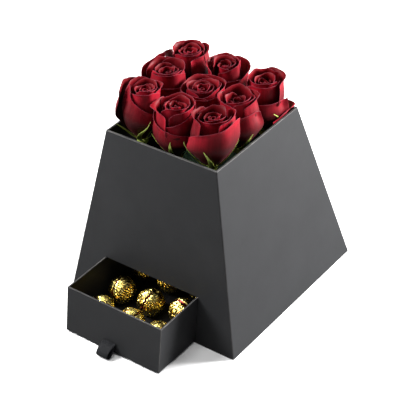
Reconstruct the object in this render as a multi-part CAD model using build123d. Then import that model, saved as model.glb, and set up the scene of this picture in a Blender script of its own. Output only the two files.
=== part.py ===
"""Flower gift box: a tapered square box of wrapped greyboard with roses standing in floral foam
above and a pull-out drawer of foil-wrapped chocolates below.

Millimetres, +Z up. The origin is the centre of the underside of the box, and the front, with the
drawer, faces -Y. The drawer is drawn partly open, as it is shown in use.
"""

from build123d import *
import math
import os

os.makedirs("parts", exist_ok=True)

# --- Box shell ------------------------------------------------------------------------------------
BASE_SIDE = 220.0  # outside, along the floor
TOP_SIDE = 142.0  # outside, at the rim
BOX_HEIGHT = 197.0
WALL = 2.4  # greyboard with its paper wrap, across the board
BASE_BOARD = 2.0
CORNER_RADIUS = 1.3  # where the paper turns round a slanting corner
RIM_RADIUS = 0.45  # where the paper turns over a board's edge

# --- Drawer and the tunnel that it runs in -----------------------------------------------------------
DRAWER_WIDTH = 125.0
DRAWER_HEIGHT = 51.0
REAR_SPACE = 34.0  # from the closed drawer's back to the box's outside, along the floor
DRAWER_BOARD = 1.8
DRAWER_OPEN = 61.0  # how far it stands out
DRAWER_OFFSET = -2.5  # from the box's middle, along X
SLIDE_GAP = 0.3  # clearance between the drawer and what it runs in
GUIDE_BOARD = 2.0
SHELF_BOARD = 2.0

# --- Ribbon pull ------------------------------------------------------------------------------------
RIBBON_WIDTH = 17.0
RIBBON_THICKNESS = 0.5
RIBBON_REACH = 15.0  # how far the loop stands out of the drawer's front
RIBBON_LOOP = 2.4  # outer radius of the fold at the loop's end
RIBBON_DROOP = 5.0  # how far the fold hangs below the slot
RIBBON_TAIL = 11.0  # glued up the inside of the drawer's front
RIBBON_OFFSET = -2.5  # from the middle of the drawer, along X
SLOT_HEIGHT = 9.5  # the slot's middle above the drawer's underside
SLOT_GAP = 0.25  # clearance round the ribbon in its slot

# --- Chocolates -------------------------------------------------------------------------------------
CHOCOLATE_RADIUS = 15.4  # of the ball in its foil
CHOCOLATE_FOOT = 0.9  # how much the ball is flattened where it stands
CHOCOLATE_GAP = 1.0  # at least this far from the drawer's sides, front and back
CHOCOLATES = [  # row by row from the front: the shares of the free width and free length before each ball
    [(0.17, 0.19), (0.54, 0.21), (0.75, 0.19)],
    [(0.13, 0.31), (0.44, 0.32), (0.72, 0.43)],
    [(0.00, 0.57), (0.21, 0.53), (0.54, 0.64)],
    [(0.22, 0.71), (0.62, 0.72), (0.84, 0.75)],
]

# --- Roses, foam and liner ----------------------------------------------------------------------------
LINER_RIM_GAP = 5.0  # all round, where the liner passes through the box's rim
LINER_HEIGHT = 62.0
LINER_WALL = 0.8
FOAM_BELOW_RIM = 56.0  # from the box's rim down to the top of the foam
FOAM_GAP = 0.4  # between the foam and the liner
FOAM_EDGE = 3.0  # chamfer along the foam's upper edges
STEM_RADIUS = 2.6
STEM_GAP = 0.05  # radial, in the hole that the stem presses into the foam
STEM_FOOT = 16.0  # how far a stem's foot stays above the foam's underside
STEM_CUT = 45.0  # slant of the foot, in degrees
HIP_RADIUS = 6.2  # the swelling under a head
HIP_TOP_RADIUS = 5.3
HIP_BELLY = 4.5  # how far below the head the hip is widest
HIP_HEIGHT = 10.0
SEPALS = 5
SEPAL_REACH = 17.0  # from a stem's axis to the tips of the green sepals
SEPAL_ROOT = 5.6  # from the axis to the notch between two sepals
SEPAL_THICKNESS = 0.7
SEPAL_GAP = 0.4  # between the sepals and the head
HEAD_HEIGHT = 62.0
HEAD_FOOT = 8.0  # radius of a head where it meets its calyx
HEAD_RIM_GAP = 1.8  # between a head and the inside of the rim
HEAD_GAP = 0.7  # between two heads
HEAD_OUTLINE = [  # radius as a share of the widest, and height as a share of the head's
    (0.82, 0.30),
    (1.00, 0.66),
    (0.90, 0.88),
    (0.55, 1.00),
]
ROSES = [  # place in the three by three pattern, and how far the top stands above the rim
    (-1, -1, 48.0),
    (0, -1, 43.0),
    (1, -1, 46.0),
    (-1, 0, 49.0),
    (0, 0, 40.0),
    (1, 0, 44.0),
    (-1, 1, 50.0),
    (0, 1, 47.0),
    (1, 1, 42.0),
]

# --- Worked out from the above ---------------------------------------------------------------------------
SLOPE = (BASE_SIDE - TOP_SIDE) / 2 / BOX_HEIGHT  # how far a wall leans in for each unit of height
LEAN = math.sqrt(1 + SLOPE**2)  # a slanting board's level thickness over its true one
DRAWER_FLOOR = BASE_BOARD + SLIDE_GAP
DRAWER_TOP = DRAWER_FLOOR + DRAWER_HEIGHT
TUNNEL_HALF = DRAWER_WIDTH / 2 + SLIDE_GAP
TUNNEL_TOP = DRAWER_TOP + SLIDE_GAP
SHELF_TOP = TUNNEL_TOP + SHELF_BOARD
DRAWER_LENGTH = BASE_SIDE - REAR_SPACE
RIM_INSIDE = TOP_SIDE / 2 - WALL * LEAN
HEAD_RADIUS = (2 * (RIM_INSIDE - HEAD_RIM_GAP) - 2 * HEAD_GAP) / 6
PITCH = 2 * HEAD_RADIUS + HEAD_GAP
LINER_SIDE = 2 * (RIM_INSIDE - LINER_RIM_GAP)
LINER_BASE = SHELF_TOP + SLIDE_GAP
FOAM_SIDE = LINER_SIDE - 2 * (LINER_WALL + FOAM_GAP)
FOAM_BASE = LINER_BASE + LINER_WALL
FOAM_TOP = BOX_HEIGHT - FOAM_BELOW_RIM
BEYOND = 3 * BASE_SIDE  # longer than anything that a cutting block has to cross


def half_side(z):
    """Half the box's outside width at a height."""
    return BASE_SIDE / 2 - z * SLOPE


def inside(z):
    """Half the box's inside width at a height."""
    return half_side(z) - WALL * LEAN


def frustum(half, low, high):
    """The square tapered solid between two heights, where half gives its half width."""
    foot, head = 2 * half(low), 2 * half(high)
    step = (foot - head) / 2
    wedge = Wedge(foot, high - low, foot, step, step, foot - step, foot - step)
    return Pos(0, 0, (low + high) / 2) * Rot(90, 0, 0) * wedge


def side_profile(points, width, middle=0.0):
    """A board drawn as (y, z) points and as wide as stated along X."""
    face = Plane.YZ * make_face(Polyline(*points, close=True))
    return Pos(middle - width / 2, 0, 0) * extrude(face, amount=width, dir=(1, 0, 0))


def slanting_edges(shape, low, high):
    """The edges that climb from one height to another, where two slanting faces meet."""
    return shape.edges().filter_by(
        lambda e: abs(e.bounding_box().min.Z - low) < 0.01 and abs(e.bounding_box().max.Z - high) < 0.01
    )


# --- Box ------------------------------------------------------------------------------------------------
def walls():
    """Front, right, back and left boards, mitred where they meet, and rounded where the paper turns."""
    outer = frustum(half_side, BASE_BOARD, BOX_HEIGHT)
    outer = fillet(slanting_edges(outer, BASE_BOARD, BOX_HEIGHT), CORNER_RADIUS)
    shell = outer - frustum(inside, BASE_BOARD - WALL, BOX_HEIGHT + WALL)
    shell = fillet(shell.edges().group_by(Axis.Z)[-1], RIM_RADIUS)
    quarter = make_face(Polyline((0, 0), (-BASE_SIDE, -BASE_SIDE), (BASE_SIDE, -BASE_SIDE), close=True))
    quarter = extrude(quarter, amount=BOX_HEIGHT)
    names = ("front_wall", "right_wall", "back_wall", "left_wall")
    boards = {name: shell & (Rot(0, 0, 90 * i) * quarter) for i, name in enumerate(names)}
    mouth = Box(2 * TUNNEL_HALF, BASE_SIDE, TUNNEL_TOP, align=(Align.CENTER, Align.MAX, Align.MIN))
    boards["front_wall"] -= Pos(DRAWER_OFFSET, 0, 0) * mouth
    return boards


def base_board():
    """The bottom, whose edges carry the walls' slope down to the floor."""
    board = frustum(half_side, 0, BASE_BOARD)
    return fillet(slanting_edges(board, 0, BASE_BOARD), CORNER_RADIUS)


def cavity_slice(low, high):
    """What fills the inside of the box between two heights."""
    return frustum(inside, low, high)


def guide(side):
    """An upright board beside the drawer, from the front wall to the back wall."""
    slab = Box(GUIDE_BOARD, BEYOND, BEYOND)
    place = DRAWER_OFFSET + side * (TUNNEL_HALF + GUIDE_BOARD / 2)
    return cavity_slice(BASE_BOARD, TUNNEL_TOP) & (Pos(place, 0, 0) * slab)


def drawer_stop():
    """The board across the back of the tunnel, which the closed drawer meets."""
    face = DRAWER_LENGTH - half_side(DRAWER_FLOOR) + SLIDE_GAP
    height = TUNNEL_TOP - BASE_BOARD
    board = Box(2 * TUNNEL_HALF, GUIDE_BOARD, height, align=(Align.CENTER, Align.MIN, Align.MIN))
    return Pos(DRAWER_OFFSET, face, BASE_BOARD) * board


# --- Drawer, drawn about its own middle line ------------------------------------------------------------
def front_y(z, depth=0.0):
    """Y of the drawer's slanting front at a height, or of a plane that deep behind it."""
    return depth * LEAN - half_side(z) - DRAWER_OPEN


DRAWER_BACK = front_y(DRAWER_FLOOR) + DRAWER_LENGTH
SLOT_Z = DRAWER_FLOOR + SLOT_HEIGHT


def drawer_front():
    """The slanting front, level with the wall when it is closed, with a slot for the ribbon."""
    board = side_profile(
        [
            (front_y(DRAWER_FLOOR), DRAWER_FLOOR),
            (front_y(DRAWER_FLOOR, DRAWER_BOARD), DRAWER_FLOOR),
            (front_y(DRAWER_TOP, DRAWER_BOARD), DRAWER_TOP),
            (front_y(DRAWER_TOP), DRAWER_TOP),
        ],
        DRAWER_WIDTH,
    )
    corners = slanting_edges(board, DRAWER_FLOOR, DRAWER_TOP).group_by(Axis.Y)[0]
    board = fillet(corners, RIM_RADIUS)
    top = board.edges().group_by(Axis.Z)[-1].filter_by(Axis.X)
    board = fillet(top, RIM_RADIUS)
    slot = Box(RIBBON_WIDTH + 2 * SLOT_GAP, BASE_SIDE / 2, 2 * (RIBBON_THICKNESS + SLOT_GAP))
    return board - Pos(RIBBON_OFFSET, front_y(SLOT_Z), SLOT_Z) * slot


def drawer_back():
    """The upright board at the drawer's rear."""
    board = Box(DRAWER_WIDTH, DRAWER_BOARD, DRAWER_HEIGHT, align=(Align.CENTER, Align.MAX, Align.MIN))
    board = fillet(board.edges().group_by(Axis.Z)[-1].filter_by(Axis.X), RIM_RADIUS)
    return Pos(0, DRAWER_BACK, DRAWER_FLOOR) * board


def drawer_side(side):
    """A side, between the drawer's front and back."""
    back = DRAWER_BACK - DRAWER_BOARD
    board = side_profile(
        [
            (front_y(DRAWER_FLOOR, DRAWER_BOARD), DRAWER_FLOOR),
            (back, DRAWER_FLOOR),
            (back, DRAWER_TOP),
            (front_y(DRAWER_TOP, DRAWER_BOARD), DRAWER_TOP),
        ],
        DRAWER_BOARD,
        side * (DRAWER_WIDTH - DRAWER_BOARD) / 2,
    )
    return fillet(board.edges().group_by(Axis.Z)[-1].filter_by(Axis.Y), RIM_RADIUS)


def drawer_bottom():
    """The bottom, inside the four sides."""
    top = DRAWER_FLOOR + DRAWER_BOARD
    back = DRAWER_BACK - DRAWER_BOARD
    return side_profile(
        [
            (front_y(DRAWER_FLOOR, DRAWER_BOARD), DRAWER_FLOOR),
            (back, DRAWER_FLOOR),
            (back, top),
            (front_y(top, DRAWER_BOARD), top),
        ],
        DRAWER_WIDTH - 2 * DRAWER_BOARD,
    )


def pull_ribbon():
    """A ribbon folded into a loop, through the slot and glued up the inside of the front."""
    root = front_y(SLOT_Z)
    fold = Pos(root - RIBBON_REACH + RIBBON_LOOP, SLOT_Z - RIBBON_DROOP)
    neck = Pos(root, SLOT_Z) * Circle(RIBBON_THICKNESS)
    outside = make_hull((neck + fold * Circle(RIBBON_LOOP)).edges())
    hollow = make_hull(
        (
            Pos(root - RIBBON_REACH / 3, SLOT_Z - RIBBON_DROOP / 3) * Circle(RIBBON_THICKNESS / 2)
            + fold * Circle(RIBBON_LOOP - RIBBON_THICKNESS)
        ).edges()
    )
    inner = front_y(SLOT_Z, DRAWER_BOARD)
    through = Polyline(
        (root, SLOT_Z - RIBBON_THICKNESS),
        (inner + RIBBON_THICKNESS, SLOT_Z - RIBBON_THICKNESS),
        (inner + RIBBON_THICKNESS, SLOT_Z + RIBBON_THICKNESS),
        (root, SLOT_Z + RIBBON_THICKNESS),
        close=True,
    )
    low, high = SLOT_Z - RIBBON_THICKNESS, SLOT_Z + RIBBON_TAIL
    tail = Polyline(
        (front_y(low, DRAWER_BOARD), low),
        (front_y(low, DRAWER_BOARD) + 2 * RIBBON_THICKNESS, low),
        (front_y(high, DRAWER_BOARD) + 2 * RIBBON_THICKNESS, high),
        (front_y(high, DRAWER_BOARD), high),
        close=True,
    )
    section = (outside - hollow) + make_face(through) + make_face(tail)
    solid = extrude(Plane.YZ * section, amount=RIBBON_WIDTH, dir=(1, 0, 0))
    return Pos(RIBBON_OFFSET - RIBBON_WIDTH / 2, 0, 0) * solid


def chocolate_places():
    """The centre of each wrapped chocolate, standing on the drawer's bottom."""
    z = DRAWER_FLOOR + DRAWER_BOARD + CHOCOLATE_RADIUS - CHOCOLATE_FOOT
    left = CHOCOLATE_RADIUS + CHOCOLATE_GAP + DRAWER_BOARD - DRAWER_WIDTH / 2
    first = front_y(z, DRAWER_BOARD) + CHOCOLATE_GAP + CHOCOLATE_RADIUS * LEAN
    last = DRAWER_BACK - DRAWER_BOARD - CHOCOLATE_GAP - CHOCOLATE_RADIUS
    ball = 2 * CHOCOLATE_RADIUS
    free_width = -2 * left - ball * (len(CHOCOLATES[0]) - 1)
    free_length = last - first - ball * (len(CHOCOLATES) - 1)
    return [
        Pos(left + column * ball + x * free_width, first + row * ball + y * free_length, z)
        for row, balls in enumerate(CHOCOLATES)
        for column, (x, y) in enumerate(balls)
    ]


def foil_chocolate():
    """A ball with a small flat under it."""
    above = Box(BEYOND, BEYOND, BEYOND, align=(Align.CENTER, Align.CENTER, Align.MIN))
    return Sphere(CHOCOLATE_RADIUS) & Pos(0, 0, CHOCOLATE_FOOT - CHOCOLATE_RADIUS) * above


# --- Roses ----------------------------------------------------------------------------------------------
def rose_places():
    """(x, y, z) of the foot of each head."""
    return [(column * PITCH, row * PITCH, BOX_HEIGHT + top - HEAD_HEIGHT) for column, row, top in ROSES]


def rose_head():
    """A half-open rose: narrow at the foot, widest above the middle, with a shallow crown."""
    outline = [(HEAD_FOOT, 0)] + [(r * HEAD_RADIUS, h * HEAD_HEIGHT) for r, h in HEAD_OUTLINE]
    closing = Polyline(outline[-1], (0, HEAD_HEIGHT), (0, 0), outline[0])
    return revolve(Plane.XZ * make_face(Spline(*outline) + closing), Axis.Z)


def rose_calyx():
    """The swelling under a head, with pointed sepals that cup it. Its top is the head's foot."""
    side = [(STEM_RADIUS, -HIP_HEIGHT), (HIP_RADIUS, -HIP_BELLY), (HIP_TOP_RADIUS, 0)]
    closing = Polyline(side[-1], (0, 0), (0, -HIP_HEIGHT), side[0])
    hip = revolve(Plane.XZ * make_face(Spline(*side) + closing), Axis.Z)
    points = []
    for i in range(SEPALS):
        for radius, turn in ((SEPAL_REACH, i), (SEPAL_ROOT, i + 0.5)):
            angle = 2 * math.pi * turn / SEPALS
            points.append((radius * math.cos(angle), radius * math.sin(angle)))
    star = extrude(make_face(Polyline(*points, close=True)), amount=SEPAL_THICKNESS)
    return hip + Pos(0, 0, -SEPAL_GAP - SEPAL_THICKNESS) * star


def rose_stem(x, y, head_foot):
    """A stem from the calyx down into the foam, cut aslant at its foot."""
    foot = FOAM_BASE + STEM_FOOT
    length = head_foot - HIP_HEIGHT - foot
    stem = Cylinder(STEM_RADIUS, length, align=(Align.CENTER, Align.CENTER, Align.MIN))
    below = Box(BEYOND, BEYOND, BEYOND, align=(Align.CENTER, Align.CENTER, Align.MAX))
    return Pos(x, y, foot) * (stem - Pos(0, 0, STEM_RADIUS) * Rot(STEM_CUT, 0, 0) * below)


def foam_liner():
    """The open plastic tray that keeps the wet foam off the board."""
    upright = (Align.CENTER, Align.CENTER, Align.MIN)
    outer = Box(LINER_SIDE, LINER_SIDE, LINER_HEIGHT, align=upright)
    cut = LINER_SIDE - 2 * LINER_WALL
    hollow = Box(cut, cut, LINER_HEIGHT, align=upright)
    return Pos(0, 0, LINER_BASE) * (outer - Pos(0, 0, LINER_WALL) * hollow)


def floral_foam():
    """The foam block, with a hole for each stem."""
    upright = (Align.CENTER, Align.CENTER, Align.MIN)
    block = Box(FOAM_SIDE, FOAM_SIDE, FOAM_TOP - FOAM_BASE, align=upright)
    block = chamfer(block.edges().group_by(Axis.Z)[-1], FOAM_EDGE)
    block = Pos(0, 0, FOAM_BASE) * block
    hole = Cylinder(STEM_RADIUS + STEM_GAP, BEYOND, align=upright)
    for x, y, foot in rose_places():
        block -= Pos(x, y, FOAM_BASE + STEM_FOOT - STEM_GAP) * hole
    return block


def write(name, shape):
    export_step(Compound(children=shape.solids()), f"parts/{name}.step")


def main():
    for name, board in walls().items():
        write(name, board)
    write("base_board", base_board())
    write("drawer_shelf", cavity_slice(TUNNEL_TOP, SHELF_TOP))
    write("left_guide", guide(-1))
    write("right_guide", guide(1))
    write("drawer_stop", drawer_stop())

    drawer = {
        "drawer_front": drawer_front(),
        "drawer_back": drawer_back(),
        "drawer_left_side": drawer_side(-1),
        "drawer_right_side": drawer_side(1),
        "drawer_bottom": drawer_bottom(),
        "pull_ribbon": pull_ribbon(),
    }
    for i, place in enumerate(chocolate_places(), start=1):
        drawer[f"foil_chocolate_{i:02d}"] = place * foil_chocolate()
    for name, piece in drawer.items():
        write(name, Pos(DRAWER_OFFSET, 0, 0) * piece)

    write("foam_liner", foam_liner())
    write("floral_foam", floral_foam())
    head, calyx = rose_head(), rose_calyx()
    for i, (x, y, foot) in enumerate(rose_places(), start=1):
        write(f"rose_head_{i}", Pos(x, y, foot) * head)
        write(f"rose_calyx_{i}", Pos(x, y, foot) * calyx)
        write(f"rose_stem_{i}", rose_stem(x, y, foot))


main()
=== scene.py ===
import math
import random
from collections import namedtuple

import bpy
from mathutils import Matrix, Vector, noise


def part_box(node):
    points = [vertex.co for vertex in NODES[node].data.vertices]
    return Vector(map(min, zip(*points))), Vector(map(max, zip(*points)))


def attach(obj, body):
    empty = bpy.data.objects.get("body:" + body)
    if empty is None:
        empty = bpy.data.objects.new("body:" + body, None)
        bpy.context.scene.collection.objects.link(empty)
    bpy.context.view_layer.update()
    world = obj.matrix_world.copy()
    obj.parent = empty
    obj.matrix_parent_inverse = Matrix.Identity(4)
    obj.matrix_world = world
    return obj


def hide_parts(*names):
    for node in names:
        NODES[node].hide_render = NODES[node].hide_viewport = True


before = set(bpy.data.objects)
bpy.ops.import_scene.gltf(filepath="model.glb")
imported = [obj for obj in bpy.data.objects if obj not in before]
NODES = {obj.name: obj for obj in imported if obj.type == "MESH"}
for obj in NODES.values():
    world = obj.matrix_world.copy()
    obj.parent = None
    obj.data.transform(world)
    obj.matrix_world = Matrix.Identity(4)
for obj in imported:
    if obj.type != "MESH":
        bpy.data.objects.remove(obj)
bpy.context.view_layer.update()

bl_info = {
    "name": "Flower box",
    "version": (1, 0, 0),
    "blender": (4, 5, 0),
    "location": "3D View > Sidebar > Flower box",
    "description": "Builds a tapered gift box with nine roses and a drawer of foil-wrapped chocolates",
    "category": "Object",
}

MM = 0.001


# --- What the frame says --------------------------------------------------------------------------
def wall_half(height):
    """Half the box's outside width at a height, from the base board's and the walls' own corners."""
    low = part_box("base_board")[1].x
    points = [v.co for v in NODES["right_wall"].data.vertices]
    top = max(p.z for p in points)
    rim = max(p.x for p in points if p.z > top - 1 * MM)
    return low + (rim - low) * height / top


BOX_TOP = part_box("front_wall")[1].z
BASE_HALF = wall_half(0)
RIM_HALF = wall_half(BOX_TOP)
SLOPE = (BASE_HALF - RIM_HALF) / BOX_TOP
DRAWER_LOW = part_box("drawer_left_side")[0]
DRAWER_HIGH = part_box("drawer_right_side")[1]
DRAWER_MIDDLE = (DRAWER_LOW.x + DRAWER_HIGH.x) / 2
DRAWER_HALF = (DRAWER_HIGH.x - DRAWER_LOW.x) / 2


# --- Sizes and colours that a user would change ---------------------------------------------------
def colour(name, description, default):
    """A colour property."""
    return bpy.props.FloatVectorProperty(
        name=name, description=description, default=default, size=3, subtype="COLOR", min=0.0, max=1.0
    )


def length(name, description, default):
    """A length property, in metres."""
    return bpy.props.FloatProperty(
        name=name, description=description, default=default, unit="LENGTH", min=0.0
    )


def share(name, description, default):
    """A property from 0 to 1."""
    return bpy.props.FloatProperty(
        name=name, description=description, default=default, subtype="FACTOR", min=0.0, max=1.0
    )


class BoxLook(bpy.types.PropertyGroup):
    """The wrapped boards and the ribbon pull."""

    paper: colour("Paper", "Colour of the box's outer wrap", (0.020, 0.0203, 0.0215))
    inner: colour("Inner paper", "Colour of the paper inside the box", (0.006, 0.006, 0.0065))
    # Folds: the paler line along the edges, partly wear of the wrap and partly a painted highlight
    wear_and_highlight: colour("Folds", "Colour of the paper where it turns over an edge", (0.075, 0.073, 0.071))
    roughness: share("Roughness", "Roughness of the outer wrap", 0.46)
    edge: length("Fold width", "How far the paler line along a fold reaches", 0.9 * MM)
    ribbon: colour("Ribbon", "Colour of the pull", (0.0022, 0.0026, 0.0040))
    ribbon_thickness: length("Ribbon thickness", "Thickness of the pull's ribbon", 0.55 * MM)


class RoseLook(bpy.types.PropertyGroup):
    """Petals, sepals and stems."""

    # inner face darker than the back: partly the petal's own colour, partly painted shade on faces that
    # look up
    petal: colour("Petal", "Colour of a petal's velvety inner face", (0.125, 0.0008, 0.0040))
    # Petal foot: painted shade, near black towards a petal's foot, deep inside the head
    deep: colour("Petal foot", "Colour towards a petal's foot", (0.028, 0.0002, 0.001))
    back: colour("Petal back", "Colour of a petal's outer face", (0.235, 0.0040, 0.0125))
    # Lip: partly the petal's own darker edge and partly a painted sheen along the rolled lip
    lip: colour("Lip", "Colour along a petal's lip", (0.14, 0.030, 0.045))
    sepal: colour("Sepal", "Colour of the sepals", (0.42, 0.52, 0.10))
    stem: colour("Stem", "Colour of the stems", (0.09, 0.16, 0.035))
    petal_thickness: length("Petal thickness", "Thickness of a petal", 0.5 * MM)


class ChocolateLook(bpy.types.PropertyGroup):
    """The foil round the chocolates."""

    foil: colour("Foil", "Colour of the foil", (1.0, 0.82, 0.24))
    seam: colour("Seam", "Colour of the inner wrap, where the foil closes", (0.13, 0.012, 0.014))
    crease: length("Crease depth", "How deep the foil is crumpled", 1.0 * MM)
    pleats: bpy.props.IntProperty(name="Pleats", description="Pleats round a ball", default=26, min=0)


class StageLook(bpy.types.PropertyGroup):
    """Floor, lights and camera."""

    floor: colour("Floor", "Colour of the floor", (0.97, 0.97, 0.97))
    bounce: share("Bounce", "How much of its light the floor gives back to the object", 0.32)
    lens: length("Lens", "Focal length of the camera", 128 * MM)
    distance: length("Distance", "From the camera to the point that it looks at", 1.53)


def look(name):
    """One of this file's property groups in the scene."""
    return getattr(bpy.context.scene, "flower_box_" + name)


# --- Modelling helpers ----------------------------------------------------------------------------
def only(*objects):
    """Selects these objects and makes the first one active."""
    if bpy.context.object and bpy.context.object.mode != "OBJECT":
        bpy.ops.object.mode_set(mode="OBJECT")
    bpy.ops.object.select_all(action="DESELECT")
    for obj in objects:
        obj.select_set(True)
    bpy.context.view_layer.objects.active = objects[0]


def nothing():
    """Deselects everything before a new primitive is added."""
    bpy.ops.object.select_all(action="DESELECT")


def dress(piece, material):
    """Gives a piece its one material."""
    piece.data.materials.clear()
    piece.data.materials.append(material)


def finish_piece(piece, name, material, body, node):
    """Names a finished piece and puts it on its body, in place of a node of the frame."""
    piece.name = name
    piece.data.name = name
    dress(piece, material)
    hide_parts(node)
    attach(piece, body)


def apply_modifier(piece, kind, **settings):
    """Adds a modifier with these settings and applies it."""
    only(piece)
    modifier = piece.modifiers.new(kind.title(), kind)
    for key, value in settings.items():
        setattr(modifier, key, value)
    bpy.ops.object.modifier_apply(modifier=modifier.name)


def thicken(piece, thickness):
    """Gives a sheet its thickness and rounds it."""
    apply_modifier(piece, "SOLIDIFY", thickness=thickness, offset=0.0)
    apply_modifier(piece, "SUBSURF", levels=1, render_levels=1)
    only(piece)
    bpy.ops.object.shade_smooth()


def shaped_grid(copies, across, along, place):
    """A grid primitive, copied by an array; place(copy, u, v) gives each point its place.

    Across the grid u goes from -1 to 1, and along it v goes from 0 to 1.
    """
    nothing()
    bpy.ops.mesh.primitive_grid_add(x_subdivisions=across, y_subdivisions=along, size=2, calc_uvs=True)
    grid = bpy.context.object
    places = [(v.co.x, (v.co.y + 1) / 2) for v in grid.data.vertices]
    apply_modifier(grid, "ARRAY", count=copies, use_relative_offset=False)
    for index, vertex in enumerate(grid.data.vertices):
        copy, point = divmod(index, len(places))
        vertex.co = place(copy, *places[point])
    return grid


def joined(pieces):
    """Joins pieces into the first one."""
    only(*pieces)
    bpy.ops.object.join()
    return bpy.context.object


def paint(mesh, name, values):
    """Stores one value for each point, for a material to read."""
    mesh.attributes.new(name, "FLOAT", "POINT").data.foreach_set("value", values)


def centre(low, high):
    """The point half way between two corners, seen from above, at the lower one's height."""
    return Vector(((low.x + high.x) / 2, (low.y + high.y) / 2, low.z))


def smooth_step(low, high, x):
    """0 below low, 1 above high, and a soft climb between."""
    t = min(max((x - low) / (high - low), 0.0), 1.0)
    return t * t * (3 - 2 * t)


# --- Material helpers -----------------------------------------------------------------------------
def put(tree, socket, value):
    """Links an output to an input socket, or sets the socket to a constant."""
    if isinstance(value, bpy.types.NodeSocket):
        tree.links.new(value, socket)
    else:
        socket.default_value = value


def add(tree, kind, sockets=None, **settings):
    """Adds a node; sockets maps an input to a value or to another node's output."""
    node = tree.nodes.new(kind)
    for key, value in settings.items():
        setattr(node, key, value)
    for key, value in (sockets or {}).items():
        put(tree, node.inputs[key], value)
    return node


def maths(tree, operation, first, second=0.0):
    """One Math node's output."""
    return add(tree, "ShaderNodeMath", {0: first, 1: second}, operation=operation).outputs[0]


def vector_maths(tree, operation, first, second=(0.0, 0.0, 0.0)):
    """One Vector Math node's output."""
    return add(tree, "ShaderNodeVectorMath", {0: first, 1: second}, operation=operation).outputs[0]


def ramp(tree, value, low, high, to_low=0.0, to_high=1.0):
    """A soft climb from to_low to to_high as the value goes from low to high."""
    sockets = {"Value": value, "From Min": low, "From Max": high, "To Min": to_low, "To Max": to_high}
    return add(tree, "ShaderNodeMapRange", sockets, interpolation_type="SMOOTHSTEP").outputs["Result"]


def opaque(tint):
    """A node's output as it is, and a plain colour with its alpha."""
    return tint if isinstance(tint, bpy.types.NodeSocket) else (*tint, 1.0)


def mixed(tree, factor, first, second, blend="MIX"):
    """A colour between two colours; 0, 6 and 7 are the inputs that a colour mix shows."""
    sockets = {0: factor, 6: opaque(first), 7: opaque(second)}
    return add(tree, "ShaderNodeMix", sockets, data_type="RGBA", blend_type=blend).outputs[2]


def fractal(tree, vector, scale, detail, roughness=0.5):
    """A noise texture's value."""
    sockets = {"Vector": vector, "Scale": scale, "Detail": detail, "Roughness": roughness}
    return add(tree, "ShaderNodeTexNoise", sockets).outputs["Fac"]


def stretched(tree, vector, scale):
    """Coordinates that are scaled along each axis."""
    return add(tree, "ShaderNodeMapping", {"Vector": vector, "Scale": scale}).outputs[0]


def new_group(name, inputs, *outputs):
    """An empty node group, its input and its output node; an input without a default is a vector."""
    tree = bpy.data.node_groups.new(name, "ShaderNodeTree")
    for key, default in inputs.items():
        kind = "NodeSocketVector" if default is None else "NodeSocketFloat"
        socket = tree.interface.new_socket(name=key, in_out="INPUT", socket_type=kind)
        if default is not None:
            socket.default_value = default
    for key in outputs:
        tree.interface.new_socket(name=key, in_out="OUTPUT", socket_type="NodeSocketFloat")
    return tree, tree.nodes.new("NodeGroupInput"), tree.nodes.new("NodeGroupOutput")


def use_group(tree, name, **values):
    """Places a shared node group in a material; values are its inputs, with _ for a space."""
    node = tree.nodes.new("ShaderNodeGroup")
    node.node_tree = group(name)
    for key, value in values.items():
        put(tree, node.inputs[key.replace("_", " ")], value)
    return node


def paper_grain_group():
    """Fine grain, faint strokes up the sheet and soft unevenness of a wrapping paper."""
    inputs = {"Vector": None, "Strokes": 1.0}
    tree, inlet, outlet = new_group("Paper grain", inputs, "Height", "Shade")
    vector = inlet.outputs["Vector"]
    grain = fractal(tree, vector, 1500.0, 2.0)
    long_way = stretched(tree, vector, (1.0, 1.0, 0.06))
    lines = fractal(tree, long_way, 700.0, 3.0, 0.6)
    strokes = maths(tree, "MULTIPLY", lines, inlet.outputs["Strokes"])
    height = maths(tree, "ADD", grain, strokes)
    cloudy = fractal(tree, vector, 22.0, 4.0, 0.6)
    streaks = maths(tree, "MULTIPLY", strokes, 0.10)
    shade = maths(tree, "ADD", ramp(tree, cloudy, 0.25, 0.75, 0.90, 1.06), streaks)
    tree.links.new(height, outlet.inputs["Height"])
    tree.links.new(shade, outlet.inputs["Shade"])
    return tree


def fold_group():
    """Masks the paler line where paper turns over an edge, along the corners and the top; the line is
    partly wear and partly a painted highlight.
    """
    vectors = dict.fromkeys(("Vector", "Middle", "Half width", "Slope"))
    inputs = {**vectors, "Top": BOX_TOP, "Reach": MM}
    tree, inlet, outlet = new_group("Paper folds", inputs, "Fold")
    height = add(tree, "ShaderNodeSeparateXYZ", {0: inlet.outputs["Vector"]}).outputs["Z"]
    slope = {0: inlet.outputs["Slope"], "Scale": height}
    lean = add(tree, "ShaderNodeVectorMath", slope, operation="SCALE").outputs[0]
    half = vector_maths(tree, "SUBTRACT", inlet.outputs["Half width"], lean)
    away = vector_maths(tree, "SUBTRACT", inlet.outputs["Vector"], inlet.outputs["Middle"])
    gap = vector_maths(tree, "SUBTRACT", half, vector_maths(tree, "ABSOLUTE", away))
    gaps = add(tree, "ShaderNodeSeparateXYZ", {0: gap})
    to_corner = maths(tree, "ABSOLUTE", maths(tree, "MAXIMUM", gaps.outputs["X"], gaps.outputs["Y"]))
    to_top = maths(tree, "SUBTRACT", inlet.outputs["Top"], height)
    near = maths(tree, "DIVIDE", maths(tree, "MINIMUM", to_corner, to_top), inlet.outputs["Reach"])
    # patchy breakup of the fold line, which is partly wear and partly a painted highlight
    wear_and_highlight = ramp(tree, fractal(tree, inlet.outputs["Vector"], 60.0, 4.0, 0.7), 0.30, 0.70, 0.35, 1.0)
    fold = maths(tree, "MULTIPLY", ramp(tree, near, 0.3, 1.0, 1.0, 0.0), wear_and_highlight)
    tree.links.new(fold, outlet.inputs["Fold"])
    return tree


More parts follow.
